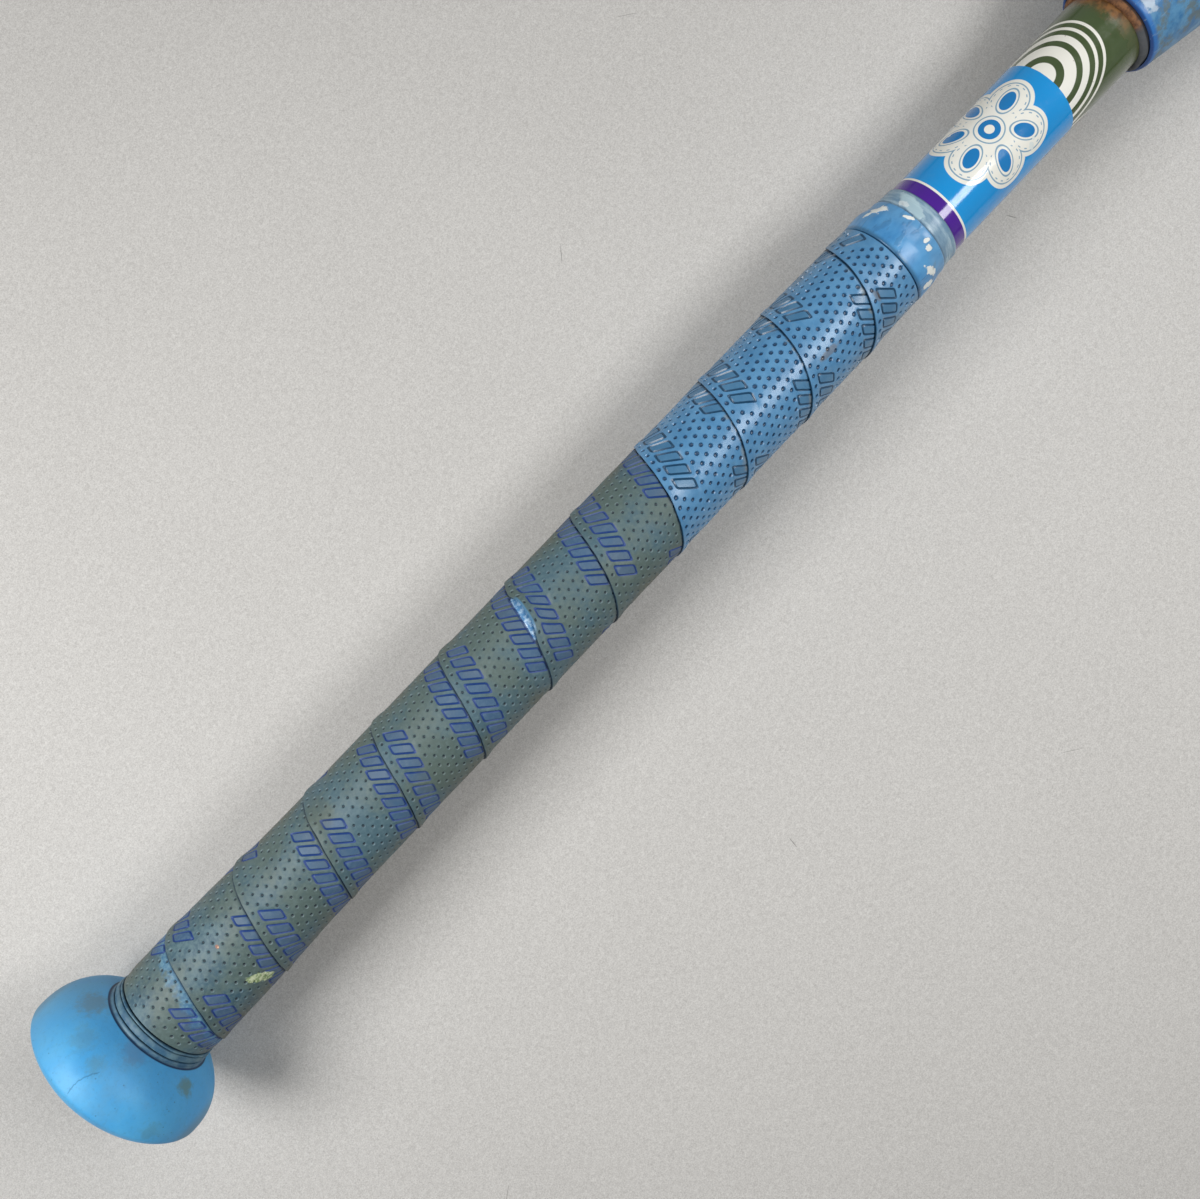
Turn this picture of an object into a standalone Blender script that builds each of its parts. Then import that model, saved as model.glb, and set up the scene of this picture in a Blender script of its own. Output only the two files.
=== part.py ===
"""A two-piece composite softball bat, lying on its barrel with its axis along +X, knob to end cap.

The floor is z = 0, and the origin is on it under the middle of the bat's length.
"""

import math

import bmesh
import bpy
import numpy as np

INCH = 0.0254
MM = 0.001

# Driving dimensions. Places along the bat are measured from the knob's outer face.
BAT_LENGTH = 34 * INCH
BARREL_RADIUS = 2.25 * INCH / 2
HANDLE_RADIUS = 0.875 * INCH / 2
JOINT_PLACE = 370.6 * MM
CLEARANCE = 0.3 * MM

KNOB_LENGTH = 23.4 * MM
KNOB_RADIUS = 24.5 * MM
KNOB_WIDEST_PLACE = 8.9 * MM
KNOB_FACE_RADIUS = 3.0 * MM
KNOB_COLLAR_LENGTH = 0.8 * MM
KNOB_FLOOR = 5.0 * MM
KNOB_BUTT_POWER = 1.5
KNOB_NECK_POWER = 2.7

HANDLE_WALL = 2.2 * MM
HANDLE_FLARE = 1.0 * MM
HANDLE_FLARE_LENGTH = 50 * MM
HANDLE_FLARE_FROM_KNOB = 16 * MM
HANDLE_TENON = 52 * MM
BUTT_PLUG_LENGTH = 18 * MM
FOAM_PLUG_LENGTH = 20 * MM

START_STRIP_WIDTH = 2.6 * MM
START_STRIP_THICKNESS = 1.9 * MM
TAPE_LENGTH = 259.9 * MM
TAPE_THICKNESS = 2.1 * MM
TAPE_PITCH = 23.7 * MM
TAPE_GAP = 0.5 * MM
TAPE_LAP_STEP = 0.35 * MM
TAPE_EDGE_ROUNDING = 0.3 * MM
TAPE_LEAST_WIDTH = 2.4 * MM
TAPE_START_ANGLE = math.radians(-7)
TAPE_POINTS_PER_TURN = 24

BAND_WIDTH = 10.0 * MM
BAND_THICKNESS = 1.4 * MM
BAND_ROUNDING = 0.5 * MM
EDGE_RING_WIDTH = 4.8 * MM
EDGE_RING_THICKNESS = 0.4 * MM

BUSHING_THICKNESS = 1.2 * MM
BUSHING_LENGTH = 45 * MM
BUSHING_LIP_LENGTH = 1.2 * MM
BUSHING_LIP_SETBACK = 0.6 * MM

BARREL_RIM_WALL = 0.9 * MM
BARREL_WALL = 2.2 * MM
BARREL_WALL_RAMP = 15 * MM
BARREL_TAPER = 134 * MM
BARREL_RIM_ROUNDING = 0.5 * MM
LINER_WALL = 1.8 * MM
LINER_FROM_TAPER = 12 * MM

CAP_HEIGHT = 10 * MM
CAP_ROUNDING = 6 * MM
CAP_DISH_RADIUS = 16 * MM
CAP_DISH_DEPTH = 5 * MM
CAP_SKIRT_LENGTH = 14 * MM
CAP_SKIRT_WALL = 2.5 * MM
CAP_PLATE = 3.5 * MM

# How finely round shapes are cut.
SEGMENTS = 40
KNOB_BUTT_STEPS = 8
KNOB_NECK_STEPS = 6
FLARE_STEPS = 5
TAPER_STEPS = 10
CAP_CORNER_STEPS = 4
CAP_DISH_STEPS = 3
SHARP_ANGLE = math.radians(30)
MERGE_DISTANCE = 0.01 * MM
# Points along each side of the tape's section where its gap to the next turn is measured.
GAP_SAMPLES = 12

# Places and radii that follow from the driving dimensions.
START_STRIP_PLACE = KNOB_LENGTH + CLEARANCE
TAPE_PLACE = START_STRIP_PLACE + START_STRIP_WIDTH + CLEARANCE
TAPE_END = TAPE_PLACE + TAPE_LENGTH
BAND_PLACE = TAPE_END + CLEARANCE
EDGE_RING_PLACE = BAND_PLACE + BAND_WIDTH + CLEARANCE
HANDLE_START = KNOB_FLOOR + CLEARANCE
FLARE_PLACE = KNOB_LENGTH + HANDLE_FLARE_FROM_KNOB
HANDLE_END = JOINT_PLACE + HANDLE_TENON
HANDLE_BORE = HANDLE_RADIUS - HANDLE_WALL
HANDLE_SEAT = HANDLE_RADIUS + CLEARANCE
BARREL_RIM_RADIUS = HANDLE_SEAT + BUSHING_THICKNESS + CLEARANCE + BARREL_RIM_WALL
BARREL_BORE = BARREL_RADIUS - BARREL_WALL
CAP_PLACE = BAT_LENGTH - CAP_HEIGHT
BARREL_END = CAP_PLACE - CLEARANCE
SKIRT_PLACE = CAP_PLACE - CAP_SKIRT_LENGTH


def clear_scene():
    for obj in list(bpy.data.objects):
        bpy.data.objects.remove(obj, do_unlink=True)


def share(value, start, length):
    """How far value has come from start along length, from 0 to 1."""
    return min(1.0, max(0.0, (value - start) / length))


def handle_radius(place):
    """The handle's outer radius, which swells a little towards the knob."""
    done = share(place, FLARE_PLACE, HANDLE_FLARE_LENGTH)
    return HANDLE_RADIUS + HANDLE_FLARE * (1 + math.cos(math.pi * done)) / 2


def barrel_radius(place):
    """The barrel's outer radius: steepest at the joint, easing to the full barrel."""
    done = share(place, JOINT_PLACE, BARREL_TAPER)
    return BARREL_RIM_RADIUS + (BARREL_RADIUS - BARREL_RIM_RADIUS) * (3 * done - done**3) / 2


def barrel_bore(place):
    """The barrel's inner radius: its wall is thin at the rim and full behind it."""
    done = share(place, JOINT_PLACE, BARREL_WALL_RAMP)
    wall = BARREL_RIM_WALL + (BARREL_WALL - BARREL_RIM_WALL) * done
    return barrel_radius(place) - wall


def arc(centre, radii, start, end, steps):
    """(place, radius) points on an ellipse's arc, angles in degrees from the +place direction."""
    points = []
    for step in range(steps + 1):
        angle = math.radians(start + (end - start) * step / steps)
        points.append((centre[0] + radii[0] * math.cos(angle), centre[1] + radii[1] * math.sin(angle)))
    return points


def make_material(name, colour, roughness, metallic=0.0, alpha=1.0):
    material = bpy.data.materials.new(name)
    material.use_nodes = True
    shader = material.node_tree.nodes["Principled BSDF"]
    shader.inputs["Base Color"].default_value = (*colour, 1.0)
    shader.inputs["Roughness"].default_value = roughness
    shader.inputs["Metallic"].default_value = metallic
    shader.inputs["Alpha"].default_value = alpha
    return material


def add_piece(name, mesh, material):
    """Puts a finished mesh in the bat's collection, on the bat's axis."""
    mesh.name = name
    mesh.shade_smooth()
    mesh.set_sharp_from_angle(angle=SHARP_ANGLE)
    mesh.materials.append(material)
    piece = bpy.data.objects.new(name, mesh)
    collection.objects.link(piece)
    piece.parent = axis
    return piece


def turn(name, outline, material):
    """A piece turned round the bat's axis from (place, radius) points.

    The outline runs along the outer side from the end cap's end to the knob's end, and back
    inside. One that starts and ends on the axis is left open there.
    """
    profile = bpy.data.meshes.new(name + "_profile")
    shape = bmesh.new()
    corners = [shape.verts.new((radius, 0, place)) for place, radius in outline]
    for first, second in zip(corners, corners[1:]):
        shape.edges.new((first, second))
    if outline[0][1] > 0:
        shape.edges.new((corners[-1], corners[0]))
    shape.to_mesh(profile)
    shape.free()
    source = bpy.data.objects.new(name + "_profile", profile)
    bpy.context.scene.collection.objects.link(source)
    screw = source.modifiers.new("Turn", "SCREW")
    screw.axis = "Z"
    screw.steps = SEGMENTS
    screw.render_steps = SEGMENTS
    screw.use_merge_vertices = True
    screw.merge_threshold = MERGE_DISTANCE
    graph = bpy.context.evaluated_depsgraph_get()
    mesh = bpy.data.meshes.new_from_object(source.evaluated_get(graph))
    bpy.data.objects.remove(source, do_unlink=True)
    return add_piece(name, mesh, material)


def make_sleeve(name, start, length, bore, thickness, rounding, material):
    """A plain ring on the handle whose outer edges are cut off by rounding."""
    end = start + length
    outer = bore + thickness
    outline = [
        (end, bore),
        (end, outer - rounding),
        (end - rounding, outer),
        (start + rounding, outer),
        (start, outer - rounding),
        (start, bore),
    ]
    turn(name, outline, material)


def make_plug(name, start, length, radius, material):
    """A solid round plug inside the handle."""
    turn(name, [(start + length, 0), (start + length, radius), (start, radius), (start, 0)], material)


def knob_outline():
    """The knob's outer side: its straight collar, its flank and its butt, down to its flat face."""
    neck = handle_radius(KNOB_LENGTH) + CLEARANCE + START_STRIP_THICKNESS
    flank = KNOB_LENGTH - KNOB_COLLAR_LENGTH - KNOB_WIDEST_PLACE
    points = [(KNOB_LENGTH, neck)]
    for step in range(KNOB_NECK_STEPS + 1):
        done = 1 - step / KNOB_NECK_STEPS
        radius = neck + (KNOB_RADIUS - neck) * (1 - done**KNOB_NECK_POWER)
        points.append((KNOB_WIDEST_PLACE + flank * done, radius))
    for step in range(1, KNOB_BUTT_STEPS + 1):
        # The steps follow an angle, so that they crowd where the side turns into the face.
        done = math.sin(math.pi / 2 * step / KNOB_BUTT_STEPS)
        swell = (1 - done**KNOB_BUTT_POWER) ** (1 / KNOB_BUTT_POWER)
        place = KNOB_WIDEST_PLACE * (1 - done)
        points.append((place, KNOB_FACE_RADIUS + (KNOB_RADIUS - KNOB_FACE_RADIUS) * swell))
    return points


def make_knob(material):
    """The moulded knob, a cup that the handle is bonded into."""
    socket = handle_radius(KNOB_FLOOR) + CLEARANCE
    # It starts at the middle of the socket's floor and ends at the middle of the knob's face.
    outline = [(KNOB_FLOOR, 0), (KNOB_FLOOR, socket), (KNOB_LENGTH, socket)]
    outline += knob_outline() + [(0, 0)]
    turn("knob", outline, material)


def make_handle_tube(material):
    """The composite handle tube, from inside the knob to inside the barrel."""
    flare = [FLARE_PLACE + HANDLE_FLARE_LENGTH * step / FLARE_STEPS for step in range(FLARE_STEPS + 1)]
    places = [HANDLE_END] + flare[::-1] + [HANDLE_START]
    outline = [(place, handle_radius(place)) for place in places]
    outline += [(HANDLE_START, HANDLE_BORE), (HANDLE_END, HANDLE_BORE)]
    turn("handle_tube", outline, material)


def tape_seat(place):
    """The inner radius of the wound tape, whose flat sides still clear the round handle."""
    return (handle_radius(place) + CLEARANCE) / math.cos(math.pi / TAPE_POINTS_PER_TURN)


def tape_section(turns):
    """The strip's corners as (place, radius) after this many turns from where its edge leaves square.

    The first turn's near edge stays square to the handle and so does the last turn's far edge, as
    on a tape cut to a point at each end. Each turn's near edge stands a little proud of the far
    edge of the turn before, as where the real tape laps over itself.
    """
    near = max(TAPE_PLACE, TAPE_PLACE + TAPE_PITCH * (turns - 1))
    far = min(TAPE_END, TAPE_PLACE + TAPE_PITCH * turns - TAPE_GAP)
    near_top = tape_seat(near) + TAPE_THICKNESS
    far_top = tape_seat(far) + TAPE_THICKNESS - TAPE_LAP_STEP
    return [
        (near, tape_seat(near)),
        (near, near_top - TAPE_EDGE_ROUNDING),
        (near + TAPE_EDGE_ROUNDING, near_top),
        (far, far_top),
        (far, tape_seat(far)),
    ]


def tape_sections():
    """The strip's sections, one for each point of its winding, with their angles round the handle."""
    first = math.ceil((TAPE_LEAST_WIDTH + TAPE_GAP) / TAPE_PITCH * TAPE_POINTS_PER_TURN)
    reach = 1 + (TAPE_LENGTH - TAPE_LEAST_WIDTH) / TAPE_PITCH
    last = math.floor(reach * TAPE_POINTS_PER_TURN)
    sections = []
    for point in range(first, last + 1):
        turns = point / TAPE_POINTS_PER_TURN
        sections.append((TAPE_START_ANGLE - 2 * math.pi * turns, tape_section(turns)))
    return sections


def least_gap(sections):
    """The least distance between the edges of one turn and the next, measured on points, in metres."""
    least = math.inf
    for before, after in zip(sections, sections[TAPE_POINTS_PER_TURN:]):
        clouds = []
        for _, corners in (before, after):
            ring = np.array(corners + corners[:1])
            steps = np.linspace(0, 1, GAP_SAMPLES)[:, None]
            clouds.append(np.concatenate([a + (b - a) * steps for a, b in zip(ring, ring[1:])]))
        between = np.linalg.norm(clouds[0][:, None] - clouds[1][None], axis=2)
        least = min(least, between.min())
    return least


def make_grip_tape(material):
    """The grip tape, one flat strip wound up the handle as a left-handed helix."""
    sections = tape_sections()
    shape = bmesh.new()
    rings = []
    for angle, corners in sections:
        ring = []
        for place, radius in corners:
            ring.append(shape.verts.new((radius * math.cos(angle), radius * math.sin(angle), place)))
        rings.append(ring)
    for before, after in zip(rings, rings[1:]):
        for corner in range(len(before)):
            along = (corner + 1) % len(before)
            shape.faces.new((before[corner], before[along], after[along], after[corner]))
    shape.faces.new(rings[0][::-1])
    shape.faces.new(rings[-1])
    bmesh.ops.recalc_face_normals(shape, faces=shape.faces)
    mesh = bpy.data.meshes.new("grip_tape")
    shape.to_mesh(mesh)
    shape.free()
    add_piece("grip_tape", mesh, material)
    turns = (len(sections) - 1) / TAPE_POINTS_PER_TURN
    print(f"grip tape: {turns:.2f} turns, least gap to itself {least_gap(sections) / MM:.2f} mm")


def taper_places(start, end):
    """Places where a shape that follows the taper is cut, from end to start."""
    places = [JOINT_PLACE + BARREL_TAPER * step / TAPER_STEPS for step in range(TAPER_STEPS + 1)]
    places.append(JOINT_PLACE + BARREL_WALL_RAMP)
    within = [place for place in sorted(places, reverse=True) if start < place < end]
    return [end] + within + [start]


def make_connection_bushing(material):
    """The rubber bushing that joins handle and barrel, with a lip that shows at the barrel's rim."""
    end = JOINT_PLACE + BUSHING_LENGTH
    lip = JOINT_PLACE - CLEARANCE
    lip_radius = BARREL_RIM_RADIUS - BUSHING_LIP_SETBACK
    outline = [(end, HANDLE_SEAT)]
    outline += [(place, barrel_bore(place) - CLEARANCE) for place in taper_places(JOINT_PLACE, end)]
    outline += [
        (lip, barrel_bore(JOINT_PLACE) - CLEARANCE),
        (lip, lip_radius),
        (lip - BUSHING_LIP_LENGTH, lip_radius),
        (lip - BUSHING_LIP_LENGTH, HANDLE_SEAT),
    ]
    turn("connection_bushing", outline, material)


def make_barrel_shell(material):
    """The barrel's outer wall: rim, taper and straight barrel in one moulding."""
    outside = [(place, barrel_radius(place)) for place in taper_places(JOINT_PLACE, BARREL_END)]
    rounded_from = JOINT_PLACE + BARREL_RIM_ROUNDING
    outside[-1] = (rounded_from, barrel_radius(rounded_from))
    outside.append((JOINT_PLACE, BARREL_RIM_RADIUS - BARREL_RIM_ROUNDING))
    inside = [(place, barrel_bore(place)) for place in reversed(taper_places(JOINT_PLACE, BARREL_END))]
    turn("barrel_shell", outside + inside, material)


def make_barrel_liner(material):
    """The second, inner wall of the hitting part of the barrel."""
    start = JOINT_PLACE + BARREL_TAPER + LINER_FROM_TAPER
    end = SKIRT_PLACE - CLEARANCE
    outer = BARREL_BORE - CLEARANCE
    bore = outer - LINER_WALL
    turn("barrel_liner", [(end, bore), (end, outer), (start, outer), (start, bore)], material)


def make_end_cap(material):
    """The moulded cap: a dished face with a rounded edge, and a skirt bonded inside the barrel."""
    skirt = BARREL_BORE - CLEARANCE
    dish_floor = BAT_LENGTH - CAP_DISH_DEPTH
    outline = arc((BAT_LENGTH, 0), (-CAP_DISH_DEPTH, CAP_DISH_RADIUS), 0, 90, CAP_DISH_STEPS)
    corner_centre = (BAT_LENGTH - CAP_ROUNDING, BARREL_RADIUS - CAP_ROUNDING)
    outline += arc(corner_centre, (CAP_ROUNDING, CAP_ROUNDING), 0, 90, CAP_CORNER_STEPS)
    outline += [
        (CAP_PLACE, BARREL_RADIUS),
        (CAP_PLACE, skirt),
        (SKIRT_PLACE, skirt),
        (SKIRT_PLACE, skirt - CAP_SKIRT_WALL),
        (dish_floor - CAP_PLATE, skirt - CAP_SKIRT_WALL),
        (dish_floor - CAP_PLATE, 0),
    ]
    turn("end_cap", outline, material)


clear_scene()
collection = bpy.data.collections.new("softball_bat")
bpy.context.scene.collection.children.link(collection)

# Pieces are built round their own Z. This empty lays that axis along +X, with a flat side down.
axis = bpy.data.objects.new("bat_axis", None)
collection.objects.link(axis)
axis.rotation_mode = "ZYX"
axis.rotation_euler = (0, math.pi / 2, math.pi / SEGMENTS)
axis.location = (-BAT_LENGTH / 2, 0, BARREL_RADIUS)

knob_rubber = make_material("knob_rubber", (0.07, 0.30, 0.66), 0.6)
tape_polymer = make_material("tape_polymer", (0.10, 0.22, 0.26), 0.65)
band_polymer = make_material("band_polymer", (0.10, 0.28, 0.55), 0.5)
clear_film = make_material("clear_film", (0.35, 0.42, 0.48), 0.3, alpha=0.8)
handle_paint = make_material("handle_paint", (0.0, 0.24, 0.64), 0.15)
barrel_paint = make_material("barrel_paint", (0.05, 0.16, 0.40), 0.4)
joint_rubber = make_material("joint_rubber", (0.03, 0.03, 0.03), 0.8)
liner_laminate = make_material("liner_laminate", (0.02, 0.02, 0.02), 0.4)
plug_foam = make_material("plug_foam", (0.5, 0.5, 0.45), 0.9)
cap_plastic = make_material("cap_plastic", (0.02, 0.05, 0.12), 0.45)

make_knob(knob_rubber)
make_handle_tube(handle_paint)
make_plug("handle_butt_plug", HANDLE_START, BUTT_PLUG_LENGTH, HANDLE_BORE - CLEARANCE, plug_foam)
foam_place = HANDLE_END - FOAM_PLUG_LENGTH
make_plug("handle_foam_plug", foam_place, FOAM_PLUG_LENGTH, HANDLE_BORE - CLEARANCE, plug_foam)
strip_bore = handle_radius(START_STRIP_PLACE) + CLEARANCE
make_sleeve(
    "grip_start_strip",
    START_STRIP_PLACE,
    START_STRIP_WIDTH,
    strip_bore,
    START_STRIP_THICKNESS,
    TAPE_EDGE_ROUNDING,
    tape_polymer,
)
make_grip_tape(tape_polymer)
make_sleeve(
    "finishing_band", BAND_PLACE, BAND_WIDTH, HANDLE_SEAT, BAND_THICKNESS, BAND_ROUNDING, band_polymer
)
make_sleeve(
    "grip_edge_ring",
    EDGE_RING_PLACE,
    EDGE_RING_WIDTH,
    HANDLE_SEAT,
    EDGE_RING_THICKNESS,
    EDGE_RING_THICKNESS / 2,
    clear_film,
)
make_connection_bushing(joint_rubber)
make_barrel_shell(barrel_paint)
make_barrel_liner(liner_laminate)
make_end_cap(cap_plastic)
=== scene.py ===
"""A used two-piece softball bat lying on a pale floor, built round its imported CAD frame."""

import math
import random

import bmesh
import bpy
import numpy as np
from mathutils import Matrix, Vector, noise
from mathutils.geometry import delaunay_2d_cdt


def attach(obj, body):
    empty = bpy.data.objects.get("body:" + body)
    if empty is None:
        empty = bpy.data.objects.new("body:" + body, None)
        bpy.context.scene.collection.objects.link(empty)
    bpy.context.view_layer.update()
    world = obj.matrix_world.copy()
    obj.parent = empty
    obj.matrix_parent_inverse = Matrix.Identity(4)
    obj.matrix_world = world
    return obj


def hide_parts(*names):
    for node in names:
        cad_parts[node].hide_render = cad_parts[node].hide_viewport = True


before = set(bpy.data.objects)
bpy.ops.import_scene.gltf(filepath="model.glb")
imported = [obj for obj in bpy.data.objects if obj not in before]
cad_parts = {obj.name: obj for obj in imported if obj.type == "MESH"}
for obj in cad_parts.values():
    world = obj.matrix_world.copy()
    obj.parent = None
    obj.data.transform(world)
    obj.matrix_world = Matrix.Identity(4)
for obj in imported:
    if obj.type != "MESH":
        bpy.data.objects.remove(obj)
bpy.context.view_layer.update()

# Places along the bat and radii are in millimetres, places from the knob's face.
MM = 0.001
BUTT_X = -0.4318
AXIS_Z = 0.028575
BAT_LENGTH = 863.6

HANDLE_RADIUS = 11.1125
SEAT = 0.3
KNOB_LENGTH = 23.4
KNOB_RADIUS = 24.75
KNOB_WIDEST = 8.9
KNOB_FACE = 3.0
KNOB_COLLAR = 0.8
KNOB_BUTT_POWER, KNOB_NECK_POWER = 1.5, 2.7
KNOB_NECK_WALL = 1.9
KNOB_SOCKET_FLOOR = 5.0
# The knob sits a little askew: its side towards +Y lies nearer the butt, by this much a millimetre
# on its body and at its neck. All of it is shifted a little too, and the tape's start with it.
KNOB_LEAN, NECK_LEAN = 0.055, 0.027
KNOB_SHIFT, NECK_SHIFT = -0.25, 0.75
KNOB_TO_NECK = (10, 21)
LEAN_ENDS = (24, 42)
SHIFT_ENDS = (27, 40)
FLARE = 1.0
FLARE_ENDS = (39.4, 89.4)
JOINT = 370.6
BARREL_RADIUS = 28.575
BARREL_RIM = HANDLE_RADIUS + 2.7
BARREL_TAPER = 134.0
# The barrel's wall at its rim, what it gains, and over how far.
RIM_WALL, WALL_GAIN, WALL_GAIN_OVER = 0.9, 1.3, 15
CAP = 853.6

# The photograph's right and up are turned by this angle from the bat and from square to it.
ROLL = math.radians(46.42)
RIGHT_X, RIGHT_Y = math.cos(ROLL), -math.sin(ROLL)

# The strip of tape, wound as a left-handed helix whose knob-side edge laps over the turn before.
# Points on it are (turned, over): millimetres wound on at WOUND_RADIUS, and along the bat.
WOUND_RADIUS = 13.2
TURN = 2 * math.pi * WOUND_RADIUS
PITCH = 23.7
EDGE_START = 38.3
STRIP = 25.9
TAPE_FROM, TAPE_TO = 26.6, 286.5
SLOPE_COS = math.cos(math.atan(PITCH / TURN))
SLOPE_SIN = math.sin(math.atan(PITCH / TURN))
# Steps of its outline: the lapping edge, a cut end, the far edge and the other cut end.
OUTLINE_STEPS = (1.3, 1.5, 2.6, 1.5)
EDGE_BEVEL, EDGE_DROP = 0.12, 0.13
TAPE_RADIUS = 12.82
PLUMP = 0.42
EDGE_RISE = 0.36
LAP_SINK = 0.7
LAP_ROOM = 0.97
EDGE_GAP = 0.55
MID_STRIP = 12
UNDER_ROWS = (0.5, 1.1, 2.1, 2.8, 3.5, 12.0, 20.0)
UNDER_STEP = 2.6
# How far the lap edges stray from an even helix: most on top of the bat, and drifting with place.
TOP_BEND, FIRST_LAP_BEND, FIRST_LAP_REACH = 2.4, 1.4, 20
BEND_WIDTH = 1.25
DRIFT, DRIFT_LOSS, DRIFT_FROM, DRIFT_MIDDLE, DRIFT_REACH = 0.3, 2.1, 60, 168, 107
# The fold where the fifth lap has lifted.
FOLD_TURNS, FOLD_PAST, FOLD_REACH = 5, 3.8, 5.4
FOLD_SLIP, FOLD_RISE = 1.6, 0.5

# Rows of dimples, with pairs for the dull part and for how much more there is on the clean part.
DIMPLE_STEP = 2.67
ROW_STEP = 1.95
FIRST_ROW = 1.3
ROWS = 12
DIMPLE_SIDES = 8
DIMPLE_RIM, DIMPLE_PIT = (0.56, 0.1), (0.25, 0.12)
PIT_DEPTH, MIDDLE_DEPTH = (0.34, 0.14), (0.46, 0.16)
CLEAN_FROM = (6.3, 6.7)
# Groups of slanted bars: the shift along the strip, the place across it and half the height.
BAR_ROWS = ((0.0, 5.05, 2.42), (12.7, 20.35, 2.34))
GROUP_STEP = 17 * DIMPLE_STEP
GROUP_START = 10.7
BARS = 8
BAR_START, BAR_STEP = 1.8, 3.95
BAR_HALF_WIDTH = 1.25
BAR_SLANT = 0.5
BAR_BEVEL = 0.34
# Each bar's rings: how far it grows, and its (height, hole, outline, fill).
BAR_RINGS = (
    (BAR_BEVEL, (0, 0, 0, 0)),
    (0, (-0.27, 0, 1, 0)),
    (-BAR_BEVEL, (0.03, 0, 0, 1)),
)


def smooth(value, start, end):
    """0 before start and 1 after end, eased between them."""
    done = np.clip((np.asarray(value, float) - start) / (end - start), 0, 1)
    return done * done * (3 - 2 * done)


def flare(place):
    """How much wider the handle is near the knob."""
    return FLARE * (1 - smooth(place, *FLARE_ENDS))


def handle_radius(place):
    return HANDLE_RADIUS + flare(place)


def plump(place):
    """How much thicker the tape is on the grip than at its ends."""
    return PLUMP * smooth(place, 25, 31) * (1 - smooth(place, 262, 284))


def barrel_radius(place):
    done = np.clip((place - JOINT) / BARREL_TAPER, 0, 1)
    return BARREL_RIM + (BARREL_RADIUS - BARREL_RIM) * (3 * done - done**3) / 2


def barrel_bore(place):
    gained = np.clip((place - JOINT) / WALL_GAIN_OVER, 0, 1)
    return barrel_radius(place) - RIM_WALL - WALL_GAIN * gained


def on_bat(place, radius, angle):
    """World points for places along the bat, radii, and angles from the top towards -Y."""
    place, radius, angle = np.broadcast_arrays(place, radius, angle)
    across = -radius * np.sin(angle)
    neck = smooth(place, *KNOB_TO_NECK)
    lean = (KNOB_LEAN + (NECK_LEAN - KNOB_LEAN) * neck) * (1 - smooth(place, *LEAN_ENDS))
    askew = place - lean * across + KNOB_SHIFT + NECK_SHIFT * neck
    askew = askew - (KNOB_SHIFT + NECK_SHIFT) * smooth(place, *SHIFT_ENDS)
    return np.stack([BUTT_X + askew * MM, across * MM, AXIS_Z + radius * MM * np.cos(angle)], -1)


def add_piece(name, points, faces, finish, node, sharp=40):
    """A mesh piece in place of a CAD node, with its normals outward."""
    mesh = bpy.data.meshes.new(name)
    mesh.from_pydata(points.tolist(), [], faces)
    shape = bmesh.new()
    shape.from_mesh(mesh)
    bmesh.ops.recalc_face_normals(shape, faces=shape.faces)
    shape.to_mesh(mesh)
    shape.free()
    mesh.shade_smooth()
    mesh.set_sharp_from_angle(angle=math.radians(sharp))
    mesh.materials.append(finish.material)
    piece = bpy.data.objects.new(name, mesh)
    bpy.context.scene.collection.objects.link(piece)
    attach(piece, "root")
    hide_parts(node)
    return piece


def lathe(name, outline, finish, node, segments=144, relief=None, sharp=40):
    """A piece turned round the bat's axis from (place, radius) points.

    An outline that starts and ends on the axis makes a solid body, any other a ring. relief gives
    the height added at a place and angle.
    """
    angles = np.arange(segments) * 2 * math.pi / segments
    points, rings = [], []
    for place, radius in outline:
        if radius == 0:
            rings.append([len(points)])
            points.append(on_bat(place, 0, 0))
            continue
        ring = np.full(segments, float(radius))
        if relief:
            ring += relief(place, radius, angles)
        rings.append(list(range(len(points), len(points) + segments)))
        points.extend(on_bat(place, ring, angles))
    pairs = list(zip(rings, rings[1:]))
    if outline[0][1] > 0:
        pairs.append((rings[-1], rings[0]))
    faces = []
    for first, second in pairs:
        if len(first) == len(second) == 1:
            continue
        for i in range(segments):
            j = (i + 1) % segments
            around = ((first, i), (second, i), (second, j), (first, j))
            corners = [ring[corner % len(ring)] for ring, corner in around]
            faces.append(tuple(dict.fromkeys(corners)))
    add_piece(name, np.array(points), faces, finish, node, sharp)


def curve(start, end, steps, radius_at):
    """(place, radius) points from start to end on a given profile."""
    return [(float(place), float(radius_at(place))) for place in np.linspace(start, end, steps + 1)]


def arc(place, radius, reach, rise, start, end, steps=6):
    """(place, radius) points on an ellipse round a centre, angles in degrees from +place."""
    turns = np.radians(np.linspace(start, end, steps + 1))
    return [(float(place + reach * math.cos(a)), float(radius + rise * math.sin(a))) for a in turns]


def uneven(*layers, inner, last=BAT_LENGTH):
    """Relief for a lathe, outside a radius and before a place, from (size, grain, seed) layers."""

    def relief(place, radius, angles):
        if radius < inner or place > last:
            return 0 * angles
        where = on_bat(place, radius, angles) / MM
        heights = 0 * angles
        for size, grain, seed in layers:
            spots = where / grain + seed
            heights = heights + size * np.array([noise.noise(Vector(spot)) for spot in spots])
        return heights

    return relief


# Materials. Their numbers are millimetres, 0 to 1 shares and 0 to 255 colours.


def srgb(red, green, blue):
    """A linear colour from 0 to 255 values as a screen shows them."""
    values = []
    for value in (red, green, blue):
        value /= 255
        values.append(value / 12.92 if value <= 0.04045 else ((value + 0.055) / 1.055) ** 2.4)
    return (*values, 1.0)


def operator(name):
    """A method of Value that makes a Math node."""
    return lambda value, *others: value.finish.math(name, value, *others)


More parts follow.
